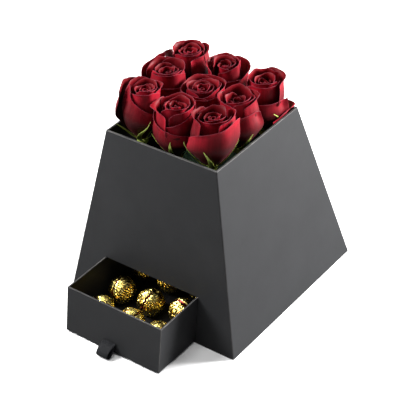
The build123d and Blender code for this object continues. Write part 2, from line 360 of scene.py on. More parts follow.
def mottle_group():
    """Soft patches and fine specks, for leaves, stems and foam."""
    inputs = {"Vector": None, "Patches": 60.0, "Specks": 900.0}
    tree, inlet, outlet = new_group("Mottle", inputs, "Shade", "Height")
    patches = fractal(tree, inlet.outputs["Vector"], inlet.outputs["Patches"], 4.0, 0.6)
    specks = fractal(tree, inlet.outputs["Vector"], inlet.outputs["Specks"], 2.0, 0.5)
    tree.links.new(ramp(tree, patches, 0.3, 0.7, 0.75, 1.2), outlet.inputs["Shade"])
    tree.links.new(specks, outlet.inputs["Height"])
    return tree


def group(name):
    """A shared node group, built the first time that it is asked for."""
    builders = {"Paper grain": paper_grain_group, "Paper folds": fold_group, "Mottle": mottle_group}
    return bpy.data.node_groups.get(name) or builders[name]()


def new_material(name):
    """A material with an empty Principled shader, its tree, and Object coordinates."""
    material = bpy.data.materials.new(name)
    material.use_nodes = True
    tree = material.node_tree
    shader = tree.nodes["Principled BSDF"]
    return material, tree, shader, add(tree, "ShaderNodeTexCoord").outputs["Object"]


def connect(tree, shader, **values):
    """Links outputs to the shader's inputs, or sets constants, with _ for a space."""
    for key, value in values.items():
        put(tree, shader.inputs[key.replace("_", " ")], value)


def bumps(tree, height, strength, depth):
    """A Bump node's normal."""
    sockets = {"Height": height, "Strength": strength, "Distance": depth}
    return add(tree, "ShaderNodeBump", sockets).outputs[0]


def shaded(tree, tint, shade):
    """A colour times a value."""
    return mixed(tree, 1.0, tint, shade, blend="MULTIPLY")


def paper_material(name, tint, roughness, folds, strokes=1.0):
    """Satin wrapping paper, paler where it turns over an edge: partly wear, partly a painted highlight.
    """
    settings = look("box")
    material, tree, shader, vector = new_material(name)
    grain = use_group(tree, "Paper grain", Vector=vector, Strokes=strokes)
    fold = use_group(tree, "Paper folds", Vector=vector, Reach=settings.edge, **folds)
    base = shaded(tree, tuple(tint), grain.outputs["Shade"])
    connect(
        tree,
        shader,
        Base_Color=mixed(tree, fold.outputs["Fold"], base, tuple(settings.wear_and_highlight)),
        Roughness=ramp(tree, grain.outputs["Shade"], 0.85, 1.15, roughness + 0.05, roughness - 0.05),
        Normal=bumps(tree, grain.outputs["Height"], 0.22, 0.06 * MM),
        Specular_IOR_Level=0.15,
    )
    return material


# --- Boards ---------------------------------------------------------------------------------------
FAR_OFF = 10.0  # metres; folds at this distance don't show on any board


class FLOWERBOX_OT_boards(bpy.types.Operator):
    """Gives the box's and the drawer's boards their wrapping paper"""

    bl_idname = "flowerbox.boards"
    bl_label = "Wrapped boards"

    def execute(self, context):
        settings = look("box")
        front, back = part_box("drawer_front")[0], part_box("drawer_back")[1]
        foot = front.y - SLOPE * front.z
        half = (BASE_HALF, BASE_HALF, 0.0)
        shell = {"Half_width": half, "Slope": (SLOPE, SLOPE, 0.0), "Top": BOX_TOP}
        drawer = {
            "Middle": (DRAWER_MIDDLE, (foot + back.y) / 2, 0.0),
            "Half_width": (DRAWER_HALF, (back.y - foot) / 2, 0.0),
            "Slope": (0.0, SLOPE, 0.0),
            "Top": DRAWER_HIGH.z,
        }
        no_folds = {"Half_width": (FAR_OFF, FAR_OFF, 0.0), "Top": FAR_OFF}
        outer = paper_material("Black wrapping paper", settings.paper, settings.roughness, shell)
        tray = paper_material("Drawer paper", settings.paper, settings.roughness, drawer)
        inner = paper_material("Inner black paper", settings.inner, 0.7, no_folds, strokes=0.3)
        wrapped = {
            outer: ("front_wall", "right_wall", "back_wall", "left_wall", "base_board"),
            tray: ("drawer_front", "drawer_back", "drawer_left_side", "drawer_right_side"),
            inner: ("drawer_shelf", "left_guide", "right_guide", "drawer_stop", "drawer_bottom"),
        }
        for material, names in wrapped.items():
            for name in names:
                dress(NODES[name], material)
        return {"FINISHED"}


# --- Ribbon pull ----------------------------------------------------------------------------------
def ribbon_material():
    """Black grosgrain: fine ribs across the ribbon and fainter threads along it."""
    material, tree, shader, _ = new_material("Black grosgrain")
    uv = add(tree, "ShaderNodeUVMap").outputs[0]
    parts = add(tree, "ShaderNodeSeparateXYZ", {0: uv})
    ribs = maths(tree, "SINE", maths(tree, "MULTIPLY", parts.outputs["Y"], 420.0))
    threads = maths(tree, "SINE", maths(tree, "MULTIPLY", parts.outputs["X"], 260.0))
    weave = maths(tree, "ADD", ribs, maths(tree, "MULTIPLY", threads, 0.4))
    uneven = fractal(tree, uv, 30.0, 3.0)
    tone = ramp(tree, maths(tree, "ADD", weave, uneven), -1.0, 2.0, 0.6, 1.7)
    connect(
        tree,
        shader,
        Base_Color=shaded(tree, tuple(look("box").ribbon), tone),
        Roughness=ramp(tree, uneven, 0.3, 0.7, 0.62, 0.8),
        Normal=bumps(tree, weave, 0.5, 0.12 * MM),
        Specular_IOR_Level=0.25,
        Sheen_Weight=0.03,
    )
    return material


BOARD = 1.8 * MM  # thickness of the drawer's front
RIBBON_TRIM = 0.2 * MM  # how much narrower the ribbon is than the frame's pull, at each edge
SLOT_SHARE = 0.385  # how far up the pull its slot is, as a share of the pull's height

# The ribbon's way in millimetres, along Y and up from the slot: from its tail inside out through the
# front, round the loop, and back in. The loop is measured from its tip and the rest from the front.
WAY_OUT = [(2.9, 10.4), (2.7, 5.0), (2.3, 0.9), (1.0, 0.3), (-1.5, 0.4), (-5.0, 0.3), (-9.0, -1.6)]
LOOP = [(1.9, -4.3), (0.2, -7.2), (0.8, -9.6), (3.0, -10.6), (5.4, -9.4)]
WAY_BACK = [(-7.0, -6.6), (-4.0, -3.4), (-1.6, -0.9), (1.2, -0.35), (2.9, -0.3)]


class FLOWERBOX_OT_ribbon(bpy.types.Operator):
    """Folds the ribbon pull into its loop"""

    bl_idname = "flowerbox.ribbon"
    bl_label = "Ribbon pull"

    def execute(self, context):
        low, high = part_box("pull_ribbon")
        middle, half = (low.x + high.x) / 2, (high.x - low.x) / 2 - RIBBON_TRIM
        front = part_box("drawer_front")
        slope = (front[1].y - front[0].y - BOARD) / (front[1].z - front[0].z)
        slot = low.z + (high.z - low.z) * SLOT_SHARE
        root = front[0].y + slope * (slot - front[0].z)
        stretches = ((root, WAY_OUT), (low.y, LOOP), (root, WAY_BACK))
        route = [(start + y * MM, slot + z * MM) for start, points in stretches for y, z in points]

        def place(_, u, v):
            at = v * (len(route) - 1)
            i = min(int(at), len(route) - 2)
            p = Vector((0, *route[i])).lerp(Vector((0, *route[i + 1])), at - i)
            bow = 0.35 * MM * (1 - u * u) * math.sin(math.pi * v)
            narrow = 1 - 0.10 * smooth_step(0.25, 0.5, v) * smooth_step(0.75, 0.5, v)
            return Vector((middle + u * half * narrow, p.y - bow, p.z + bow))

        pull = shaped_grid(1, 10, 3 * (len(route) - 1), place)
        thicken(pull, look("box").ribbon_thickness)
        strip = sum(math.dist(a, b) for a, b in zip(route, route[1:]))
        finish_piece(pull, "ribbon_pull", ribbon_material(), "drawer", "pull_ribbon")
        return {"FINISHED"}


# --- Chocolates -----------------------------------------------------------------------------------
def foil_material():
    """Thin gold foil over a dark red inner wrap that shows in the seam, with painted shade in the
    pleats' valleys and on the low side of each facet.
    """
    settings = look("chocolate")
    material, tree, shader, vector = new_material("Gold foil")
    fine = fractal(tree, vector, 300.0, 3.0, 0.55)
    hollow_shade = add(tree, "ShaderNodeAttribute", attribute_name="hollow_shade").outputs["Fac"]
    seam = add(tree, "ShaderNodeAttribute", attribute_name="seam").outputs["Fac"]
    # painted shade: the foil turns dark brown in its hollows
    painted_hollow_shade = tuple(part * light for part, light in zip(settings.foil, (0.30, 0.15, 0.12)))
    gold = mixed(tree, ramp(tree, hollow_shade, 0.45, 0.85), tuple(settings.foil), painted_hollow_shade)
    connect(
        tree,
        shader,
        Base_Color=mixed(tree, ramp(tree, seam, 0.30, 0.65), gold, tuple(settings.seam)),
        Roughness=ramp(tree, fine, 0.3, 0.7, 0.16, 0.30),
        Normal=bumps(tree, fine, 0.25, 0.2 * MM),
        Metallic=1.0,
    )
    return material


FLAT = 0.9 * MM  # how far below its round a ball is pressed flat where it stands
SEAM_WIDTH = 0.095  # as a share of the radius


def foil_ball(radius, middle, seed):
    """One ball in pleated and crumpled foil, with the seam where the foil closes."""
    settings = look("chocolate")
    draw = random.Random(seed)
    noise.seed_set(seed)
    nothing()
    bpy.ops.mesh.primitive_ico_sphere_add(subdivisions=6, radius=1.0)
    ball = bpy.context.object
    pole = Vector((draw.uniform(-0.5, 0.6), draw.uniform(-0.9, 0.1), 1.0)).normalized()
    turn = pole.to_track_quat("Z", "Y").to_matrix().inverted()
    turn = Matrix.Rotation(draw.uniform(0, math.pi), 3, "Z") @ turn
    shift = Vector((seed * 7.3, seed * 3.1, seed * 5.7))
    phase = draw.uniform(0, 2 * math.pi)
    seams, hollow_shades = [], []
    for vertex in ball.data.vertices:
        out = vertex.co.copy()
        p = turn @ out
        around = math.atan2(p.y, p.x)
        waist = math.sqrt(max(1 - p.z * p.z, 0.0))
        wander = 1.6 * noise.noise(out * 2.2 + shift)
        pleat = abs(math.sin(settings.pleats / 2 * around + phase + wander))
        scaled = out * 3.3 + shift
        nearest = noise.voronoi(scaled)[1][0]
        tilt = noise.noise_vector(nearest * 3.7)
        facet = (scaled - nearest).dot(tilt)
        creases = abs(noise.noise(out * 4.5 - shift))
        closing = p.y + 0.10 * noise.noise(out * 3 + shift)
        front = smooth_step(-0.45, -0.25, p.z)
        groove = math.exp(-((closing / SEAM_WIDTH) ** 2)) * front
        flap = smooth_step(0.02, 0.08, closing) * smooth_step(0.45, 0.12, closing) * front
        rise = 1.1 * facet + 0.95 * pleat * waist - 0.6 * creases + 0.6 * flap - 1.2 * groove
        # painted shade in the pleats' valleys and on the low side of each facet
        hollow_shades.append((1 - pleat * waist) * smooth_step(0.3, 0.7, waist) - 0.5 * facet)
        vertex.co = out * (radius - 0.9 * settings.crease + settings.crease * rise)
        vertex.co.z = max(vertex.co.z, -radius + FLAT)
        seams.append(groove)
    paint(ball.data, "seam", seams)
    paint(ball.data, "hollow_shade", hollow_shades)
    ball.data.transform(Matrix.Translation(middle))
    only(ball)
    bpy.ops.object.shade_smooth_by_angle(angle=math.radians(24))
    return ball


class FLOWERBOX_OT_chocolates(bpy.types.Operator):
    """Wraps each chocolate in crumpled gold foil"""

    bl_idname = "flowerbox.chocolates"
    bl_label = "Foil-wrapped chocolates"

    def execute(self, context):
        material = foil_material()
        names = sorted(name for name in NODES if name.startswith("foil_chocolate_"))
        for seed, name in enumerate(names, start=1):
            low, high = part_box(name)
            radius = (high.x - low.x) / 2
            middle = centre(low, high)
            middle.z = high.z - radius
            ball = foil_ball(radius, middle, seed)
            finish_piece(ball, name.replace("foil_", "wrapped_"), material, "drawer", name)
        return {"FINISHED"}


# --- Liner and foam -------------------------------------------------------------------------------
# the foam's own dark green, made darker still as painted shade for the foam in the shadow of the heads
FOAM_GREEN_AND_PAINTED_SHADE = (0.012, 0.040, 0.016)
MILKY_GREEN = (0.14, 0.18, 0.15)  # the plastic and the foam that shows dimly through it


class FLOWERBOX_OT_foam(bpy.types.Operator):
    """Gives the foam its fine green cells and the liner its milky plastic"""

    bl_idname = "flowerbox.foam"
    bl_label = "Liner and floral foam"

    def execute(self, context):
        material, tree, shader, vector = new_material("Green floral foam")
        mottle = use_group(tree, "Mottle", Vector=vector, Patches=35.0, Specks=1600.0)
        cells = add(tree, "ShaderNodeTexVoronoi", {"Vector": vector, "Scale": 900.0})
        cells = cells.outputs["Distance"]
        height = maths(tree, "ADD", mottle.outputs["Height"], cells)
        connect(
            tree,
            shader,
            Base_Color=shaded(tree, FOAM_GREEN_AND_PAINTED_SHADE, mottle.outputs["Shade"]),
            Roughness=ramp(tree, cells, 0.0, 1.0, 0.8, 1.0),
            Normal=bumps(tree, height, 0.8, 0.4 * MM),
        )
        dress(NODES["floral_foam"], material)

        material, tree, shader, vector = new_material("Milky plastic")
        mottle = use_group(tree, "Mottle", Vector=vector, Patches=18.0, Specks=500.0)
        connect(
            tree,
            shader,
            Base_Color=shaded(tree, MILKY_GREEN, mottle.outputs["Shade"]),
            Roughness=ramp(tree, mottle.outputs["Height"], 0.3, 0.7, 0.22, 0.32),
            Normal=bumps(tree, mottle.outputs["Height"], 0.1, 0.1 * MM),
        )
        dress(NODES["foam_liner"], material)
        return {"FINISHED"}


# --- Roses ----------------------------------------------------------------------------------------
# A petal, in millimetres and degrees: the direction that it faces (0 is +X, 90 is +Y), half the
# angle that it wraps, its radius at the belly and at the rim, the height of its rim, the length of
# its lip and how far the lip turns out, how far its point stands beyond the lip, how much higher its
# one side is than its middle, how far its side edges roll back, and how much further out its one
# side is than its middle.
Petal = namedtuple("Petal", "angle spread belly rim height lip curl tip skew roll spiral")

# A rose: the direction that its innermost petal faces, +1 or -1 for the way that it winds, how many
# petals its heart has, the radius of the ring round its heart, how deep the heart lies in that ring,
# how far its top leans along X and Y, and its other petals, from the inside out.
Rose = namedtuple("Rose", "turn winding petals ring depth lean outer")
ROSES = [
    Rose(10, 1, 6, 12.5, 2.0, (6.0, 5.0), [
        (60, 74, 17.5, 15.5, 57, 4, 50, 3, 0, 50, 0.5),
        (-60, 78, 18.0, 15.5, 56, 4, 45, 3, 0, 50, 0.5),
        (150, 62, 21.0, 18.5, 57, 4, 40, 5, 0, 50, 0.5),
        (-170, 50, 28.5, 24.5, 57, 4, 15, 8, -4, 10, 3.5),
        (-78, 70, 23.5, 19.0, 48, 3, 35, 1, -15, 15, 3.0),
    ]),
    Rose(75, -1, 6, 14.0, 2.0, (2.0, 2.5), [
        (110, 76, 18.5, 16.8, 58, 4, 50, 5, 0, 40, -0.5),
        (0, 76, 19.0, 17.5, 57, 4, 50, 2, 2, 50, -0.5),
        (-140, 62, 22.0, 20.5, 55, 6, 70, 7, -2, 60, -0.5),
        (-20, 84, 22.0, 19.5, 49, 3, 40, 1, 9, 30, -0.5),
        (-88, 88, 24.0, 22.0, 40, 5, 70, 1, -11, 30, 0.5),
    ]),
    Rose(140, 1, 5, 11.5, 3.0, (3.9, 3.1), [
        (129, 88, 15.5, 14.8, 56, 3, 40, 3, 0, 10, 0.5),
        (-51, 92, 16.5, 15.3, 57, 3, 40, 0, 0, 20, 0.3),
        (-150, 58, 22.0, 20.0, 57, 5, 50, 4, 0, 20, 0.5),
        (20, 60, 21.5, 20.0, 57, 4, 40, 3, 0, 30, 0.5),
        (-47, 76, 26.5, 24.5, 49, 6, 45, 3, 9, 15, 0.5),
    ]),
    Rose(205, 1, 6, 13.5, 3.0, (3.0, 0.5), [
        (70, 80, 17.5, 16.5, 58, 4, 45, 3, 0, 40, 0.5),
        (-60, 84, 18.0, 16.4, 57, 3, 40, 2, 0, 40, 0.5),
        (150, 60, 21.5, 20.0, 57, 5, 50, 3, 0, 50, 0.5),
        (200, 66, 28.0, 26.5, 52, 4, 20, 2, -12, 10, 1.0),
        (-40, 78, 22.5, 20.0, 43, 5, 70, 2, 0, 70, 0.5),
    ]),
    Rose(300, -1, 7, 16.0, 0.5, (1.5, 1.0), [
        (20, 78, 19.5, 18.5, 58, 4, 50, 3, 0, 30, -0.5),
        (150, 78, 21.0, 19.8, 58, 4, 50, 3, 0, 30, -0.5),
        (-110, 78, 22.0, 20.5, 57, 4, 50, 3, 0, 40, -0.5),
        (75, 74, 24.5, 23.0, 59, 4, 60, 3, 0, 40, -0.5),
        (-45, 84, 24.0, 22.0, 54, 4, 60, 2, 0, 50, -0.5),
    ]),
    Rose(15, 1, 5, 12.5, 7.0, (1.0, 1.0), [
        (115, 70, 17.0, 16.0, 58, 4, 50, 3, 0, 40, 0.5),
        (-5, 66, 17.5, 16.5, 57, 4, 50, 3, 0, 40, 0.5),
        (-130, 74, 18.5, 17.5, 57, 4, 50, 3, 0, 50, 0.5),
        (35, 68, 22.5, 19.5, 56, 5, 60, 4, 0, 12, 0.5),
        (-60, 80, 25.0, 21.0, 42, 4, 50, 3, 4, 60, 0.5),
    ]),
    Rose(95, -1, 6, 12.0, 2.5, (-2.0, -2.0), [
        (-40, 82, 16.0, 14.5, 57, 3, 40, 2, 0, 30, -0.5),
        (80, 76, 16.5, 15.5, 58, 4, 50, 4, 0, 40, -0.5),
        (170, 70, 18.0, 16.5, 57, 4, 50, 3, 0, 50, -0.5),
        (20, 72, 20.0, 18.5, 56, 5, 60, 3, 0, 50, -0.5),
        (-141, 46, 23.0, 24.0, 50, 5, 30, 12, 0, 40, 0.0),
    ]),
    Rose(180, 1, 5, 10.5, 2.5, (-0.5, -0.5), [
        (120, 76, 15.5, 14.5, 58, 4, 50, 3, 0, 40, 0.5),
        (-15, 76, 15.0, 13.5, 56, 3, 40, 5, 3, 40, 0.5),
        (-160, 66, 19.0, 18.0, 56, 5, 70, 2, 0, 80, 0.5),
        (48, 76, 23.5, 24.5, 48, 5, 40, 3, 4, 20, 0.5),
        (-65, 84, 21.5, 20.0, 45, 4, 50, 1, 0, 40, 0.5),
    ]),
    Rose(250, -1, 5, 13.0, 4.0, (1.5, 2.0), [
        (150, 78, 17.5, 16.3, 58, 4, 50, 3, 0, 40, -0.5),
        (-40, 82, 17.5, 16.0, 55, 4, 50, 2, 0, 40, -0.5),
        (60, 74, 21.0, 20.0, 57, 5, 60, 3, 0, 50, -0.5),
        (28, 58, 24.0, 25.5, 20, 10, 75, 8, 0, 30, 0.0),
        (-60, 82, 25.0, 21.5, 39, 4, 60, 2, 0, 70, -0.5),
    ]),
]
GOLDEN_ANGLE = 137.5
HEAD_LIMIT = 22.3  # half the space between two heads, in millimetres
FREE_LIMIT = 28.0  # how far a petal may reach where there is no other head
PRESS = 2.5  # over how many millimetres a petal flattens before the limit
INSET, MOST_INSET = 0.6, 3.0  # how much sooner a petal is pressed than the next one out, in mm
FOOT_RADIUS = 3.6  # of a petal at its foot, in millimetres
PETAL_HEIGHT = 60  # about how tall a petal is, in millimetres
BELLY = 0.66  # how far up a petal it is widest
LIP = 0.85  # how far up a petal its lip starts
ROLLED = 0.3  # share of a petal's half width that rolls back
LIP_ROOM = 4.5  # how far lips and points stand above the petals' own height, in millimetres
WALL_ROOM = RIM_HALF - 3.5 * MM  # from the middle of the rim to the inside of a wall


def cupped(climb):
    """How far out a petal is, from 0 at its foot to 1 at its belly; climb goes from 0 to 1 there."""
    return 0.6 * math.sin(math.pi / 2 * climb) + 0.4 * climb


def petal_point(petal, phase, u, v):
    """A point of a petal, in millimetres from the foot of the head."""
    corner = abs(u) ** 3
    reach = 1 - 0.16 * corner + petal.tip / PETAL_HEIGHT * math.exp(-abs(u) / 0.16)
    s = v * reach
    t = min(s / LIP, 1.0)
    if t < BELLY:
        radius = FOOT_RADIUS + (petal.belly - FOOT_RADIUS) * cupped(t / BELLY)
    else:
        radius = petal.belly + (petal.rim - petal.belly) * smooth_step(BELLY, 1.0, t)
    height = petal.height * t
    if s > LIP:
        curl = math.radians(petal.curl) * (1 + 0.5 * u * u)
        turned = curl * (s - LIP) / (1 - LIP)
        bend = petal.lip / curl
        radius += bend * (1 - math.cos(turned))
        height += bend * math.sin(turned)
    upper = smooth_step(0.35, 0.95, t)
    dents = noise.noise(Vector((1.6 * u, 2.6 * v, 4 * phase)))
    ruffle = noise.noise(Vector((5.5 * u, 1.5 * v, 7 * phase)))
    height += (petal.skew * u + 0.8 * math.sin(3.3 * u + phase) + 1.3 * ruffle) * upper
    radius += (0.4 * math.sin(4.3 * u + 2 * phase) + petal.spiral * u + 0.9 * ruffle) * upper
    radius += 1.9 * dents * upper
    wrap = math.radians(petal.spread) * (0.5 + 0.5 * math.sin(math.pi / 2 * min(s / 0.6, 1.0)))
    inner = min(abs(u), 1 - ROLLED)
    edge = abs(u) - inner
    turned = math.radians(petal.roll) * upper * edge / ROLLED
    along = wrap * edge
    if turned > 0.01:
        bend = wrap * radius * edge / turned
        along = bend * math.sin(turned) / radius
        radius += bend * (1 - math.cos(turned))
    angle = math.radians(petal.angle) + math.copysign(wrap * inner + along, u)
    return radius * math.cos(angle), radius * math.sin(angle), height


def heart_petals(rose, rim_height, draw):
    """The petals inside the ring, wound round the heart by the golden angle, no two quite alike."""
    deep = rim_height - rose.depth
    petals = [Petal(rose.turn, 235, 3.9, 2.6, deep, 1.2, 20, 0, 1.5, 0, 1.2 * rose.winding)]
    for k in range(rose.petals):
        q = (k + 1) / rose.petals
        rim = 3.0 + (rose.ring - 3.0) * q**0.95 + draw.uniform(-0.5, 0.5) * (1 - q)
        petals.append(
            Petal(
                angle=rose.turn + GOLDEN_ANGLE * rose.winding * (k + 1) + draw.uniform(-14, 14),
                spread=108 - 22 * q + draw.uniform(-8, 8),
                belly=rim + 2.2,
                rim=rim,
                height=rim_height - rose.depth * (1 - q * q) + draw.uniform(-1.3, 1.3),
                lip=1.8 + 2.2 * q,
                curl=22 + 26 * q,
                tip=draw.uniform(0.4, 2.4),
                skew=draw.uniform(-1.5, 1.5),
                roll=20 + 35 * q,
                spiral=0.9 * rose.winding,
            )
        )
    return petals


def pressed(distance, limit):
    """Flattens a distance softly so that it stays inside a limit."""
    start = limit - PRESS
    if abs(distance) < start:
        return distance
    return math.copysign(start + PRESS * (1 - math.exp((start - abs(distance)) / PRESS)), distance)


def settled(point, foot, lean, inset=0.0):
    """Leans a head's point over, and presses it against its neighbours and the inside of the box.

    Inset, in millimetres, keeps an inner petal inside the limit, so that it stays behind outer ones.
    """
    height = point[2]
    level = foot.z + height * MM
    place = []
    for axis in (0, 1):
        distance = point[axis] + lean[axis] * max(height / PETAL_HEIGHT, 0.0) ** 1.4
        outwards = foot[axis] * distance > 0
        limit = FREE_LIMIT if outwards and abs(foot[axis]) > 10 * MM else HEAD_LIMIT
        if limit == FREE_LIMIT and level < BOX_TOP + 3 * MM:
            limit = (WALL_ROOM - abs(foot[axis])) / MM
        place.append(pressed(distance, limit - inset))
    return foot + Vector((*place, height)) * MM


def petal_material():
    """Velvety petals: deep red, with painted shade towards the foot, a lip line that is partly a darker
    edge and partly painted sheen, a darker inner face that is partly painted shade, and faint veins.
    """
    settings = look("rose")
    material, tree, shader, vector = new_material("Red petals")
    uv = add(tree, "ShaderNodeUVMap").outputs[0]
    parts = add(tree, "ShaderNodeSeparateXYZ", {0: uv})
    across, along = parts.outputs["X"], parts.outputs["Y"]
    tone = add(tree, "ShaderNodeAttribute", attribute_name="tone").outputs["Fac"]
    outer_face_and_top_shade = add(tree, "ShaderNodeAttribute", attribute_name="outer_face_and_top_shade").outputs["Fac"]
    strands = maths(tree, "MULTIPLY", across, 46.0)
    fan = add(tree, "ShaderNodeCombineXYZ", {0: strands, 1: along, 2: tone})
    veins = fractal(tree, fan.outputs[0], 1.0, 3.0, 0.6)
    cloud = fractal(tree, vector, 130.0, 3.0, 0.55)
    # inner and back colours, split by a mask that is partly painted shade on faces that look up
    face = mixed(tree, outer_face_and_top_shade, tuple(settings.petal), tuple(settings.back))
    # painted shade: the colour darkens towards the petal's foot
    shaded_towards_foot = mixed(tree, ramp(tree, along, 0.35, 0.95), tuple(settings.deep), face)
    side = maths(tree, "ABSOLUTE", maths(tree, "SUBTRACT", across, 0.5))
    # lip line along the top and the side edges: partly a darker edge, partly painted sheen
    edge = maths(tree, "MAXIMUM", ramp(tree, along, 0.968, 0.995), ramp(tree, side, 0.478, 0.498))
    edge = maths(tree, "MULTIPLY", edge, ramp(tree, along, 0.35, 0.7))
    lip_and_sheen = mixed(tree, maths(tree, "MULTIPLY", edge, 0.75), shaded_towards_foot, tuple(settings.lip))
    veined = ramp(tree, veins, 0.25, 0.75, 0.86, 1.12)
    shade = maths(tree, "MULTIPLY", veined, ramp(tree, cloud, 0.25, 0.75, 0.82, 1.15))
    shade = maths(tree, "MULTIPLY", shade, ramp(tree, tone, 0.0, 1.0, 0.8, 1.18))
    connect(
        tree,
        shader,
        Base_Color=shaded(tree, lip_and_sheen, shade),
        Roughness=ramp(tree, cloud, 0.3, 0.7, 0.50, 0.62),
        Normal=bumps(tree, veins, 0.25, 0.25 * MM),
        Specular_IOR_Level=0.10,
        Sheen_Weight=0.03,
        Sheen_Roughness=0.35,
        Sheen_Tint=(1.0, 0.30, 0.36, 1.0),
    )
    return material


def bloom(number, rose, low, high):
    """One rose head: all its petals in one piece."""
    draw = random.Random(100 + number)
    foot = centre(low, high)
    petals = heart_petals(rose, (high.z - low.z) / MM - LIP_ROOM, draw)
    petals += [Petal(*numbers) for numbers in rose.outer]
    phases = [draw.uniform(0, 2 * math.pi) for _ in petals]
    tones = [draw.random() for _ in petals]

    def place(index, u, v):
        across, along = 1.5 * u - 0.5 * u**3, 1 - (1 - v) ** 1.3
        inset = min(INSET * (len(petals) - 1 - index), MOST_INSET)
        point = petal_point(petals[index], phases[index], across, along)
        return settled(point, foot, rose.lean, inset)

    head = shaped_grid(len(petals), 20, 16, place)
    per_petal = len(head.data.vertices) // len(petals)
    paint(head.data, "tone", [tone for tone in tones for _ in range(per_petal)])
    thicken(head, look("rose").petal_thickness)
    paint_backs_and_top_shade(head, foot)
    return head


def paint_backs_and_top_shade(head, foot):
    """Marks the points whose surface looks away from the middle of the head, less where it looks up;
    faces that look up take the darker inner colour, which is partly painted shade.
    """
    values = []
    for vertex in head.data.vertices:
        away = Vector((vertex.co.x - foot.x, vertex.co.y - foot.y, 0.0))
        facing = vertex.normal.dot(away.normalized()) if away.length > 0 else 0.0
        # faces that look up count less as outer, so they get the darker inner colour: partly painted
        # shade
        values.append(smooth_step(-0.1, 0.5, facing - 0.35 * vertex.normal.z))
    paint(head.data, "outer_face_and_top_shade", values)


class FLOWERBOX_OT_roses(bpy.types.Operator):
    """Models the rose heads, petal by petal"""

    bl_idname = "flowerbox.roses"
    bl_label = "Rose heads"

    def execute(self, context):
        material = petal_material()
        for number, rose in enumerate(ROSES, start=1):
            node = f"rose_head_{number}"
            head = bloom(number, rose, *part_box(node))
            finish_piece(head, f"rose_bloom_{number}", material, "arrangement", node)
        return {"FINISHED"}


# --- Calyxes and stems ----------------------------------------------------------------------------
def green_material(name, tint, roughness):
    """Waxy green, mottled, for sepals and stems."""
    material, tree, shader, vector = new_material(name)
    mottle = use_group(tree, "Mottle", Vector=vector, Patches=90.0, Specks=1100.0)
    connect(
        tree,
        shader,
        Base_Color=shaded(tree, tuple(tint), mottle.outputs["Shade"]),
        Roughness=ramp(tree, mottle.outputs["Height"], 0.3, 0.7, roughness - 0.06, roughness + 0.08),
        Normal=bumps(tree, mottle.outputs["Height"], 0.3, 0.12 * MM),
        Subsurface_Weight=0.12,
        Subsurface_Radius=(0.002, 0.003, 0.001),
    )
    return material


SEPAL_TURNS = {1: -141, 2: -141, 3: -51, 6: -25, 9: -57}  # where a sepal shows at the box's rim
SEPAL_SLANTS = {1: 40, 9: -25}  # how far these heads' sepals turn aside on their way up, in degrees
SEPAL_ROOT = 4.6  # radius of the ring that the sepals grow from, in millimetres
SEPAL_BELLY = 25.0  # radius of the petals that they lie against
SEPAL_CLIMB = 38.0  # how high the longest ones reach
SEPAL_WIDEST = 50 * BELLY  # how high they lie against the petals' belly
SEPAL_THICKNESS = 0.5 * MM
HIP_RADIUS = 5.6 * MM
HIP_PLAY = 0.2 * MM  # between the hip and the top of its stem


def sepals(foot, number):
    """Five narrow sepals that climb the outside of the head to a fine tip."""
    draw = random.Random(40 + number)
    turn = SEPAL_TURNS.get(number, draw.uniform(0, 72))
    slant = SEPAL_SLANTS.get(number, 0)
    shapes = [
        (turn + 72 * i, draw.uniform(0.65, 1.05), slant + draw.uniform(-22, 22), draw.uniform(0, 4))
        for i in range(5)
    ]

    def place(index, u, v):
        angle, climb, twist, curl = shapes[index]
        height = SEPAL_CLIMB * climb * v**1.15 - 1.2
        rise = min(max(height, 0.0) / SEPAL_WIDEST, 1.0)
        out = SEPAL_ROOT + (SEPAL_BELLY - SEPAL_ROOT) * cupped(rise)
        out += 2.0 * min(4 * v, 1.0)
        out += curl * v**3
        half = 3.4 * (1 - v) ** 0.7 * (0.6 + 1.6 * v * (1 - v)) + 0.15
        out += 0.7 * abs(u) * (1 - v)
        bend = math.radians(angle + twist * v * v)
        side = u * half
        point = (
            out * math.cos(bend) - side * math.sin(bend),
            out * math.sin(bend) + side * math.cos(bend),
            height,
        )
        return settled(point, foot, (0, 0))

    return shaped_grid(5, 4, 14, place)


def hip(foot, radius, depth):
    """The green swelling between stem and head: a ball drawn out to its outline."""
    nothing()
    bpy.ops.mesh.primitive_uv_sphere_add(segments=20, ring_count=14, radius=1.0)
    piece = bpy.context.object
    for vertex in piece.data.vertices:
        t = (1 - vertex.co.z) / 2
        around = Vector((vertex.co.x, vertex.co.y, 0.0))
        full = 0.9 + 0.18 * math.sin(math.pi * min(t * 1.2, 1.0)) - 0.42 * smooth_step(0.4, 1.0, t)
        width = radius * full * min(around.length * 2.2, 1.0)
        vertex.co = foot - Vector((0, 0, depth * t)) + around.normalized() * width
    return piece


class FLOWERBOX_OT_calyxes(bpy.types.Operator):
    """Models the hip and the sepals under each head"""

    bl_idname = "flowerbox.calyxes"
    bl_label = "Calyxes"

    def execute(self, context):
        material = green_material("Yellow-green sepals", look("rose").sepal, 0.5)
        for number in range(1, len(ROSES) + 1):
            node = f"rose_calyx_{number}"
            low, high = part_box(node)
            foot = centre(*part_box(f"rose_head_{number}"))
            foot.z = high.z
            blades = sepals(foot, number)
            thicken(blades, SEPAL_THICKNESS)
            bulb = hip(foot, HIP_RADIUS, high.z - low.z - HIP_PLAY)
            only(bulb)
            bpy.ops.object.shade_smooth()
            calyx = joined([blades, bulb])
            finish_piece(calyx, f"calyx_{number}", material, "arrangement", node)
        return {"FINISHED"}


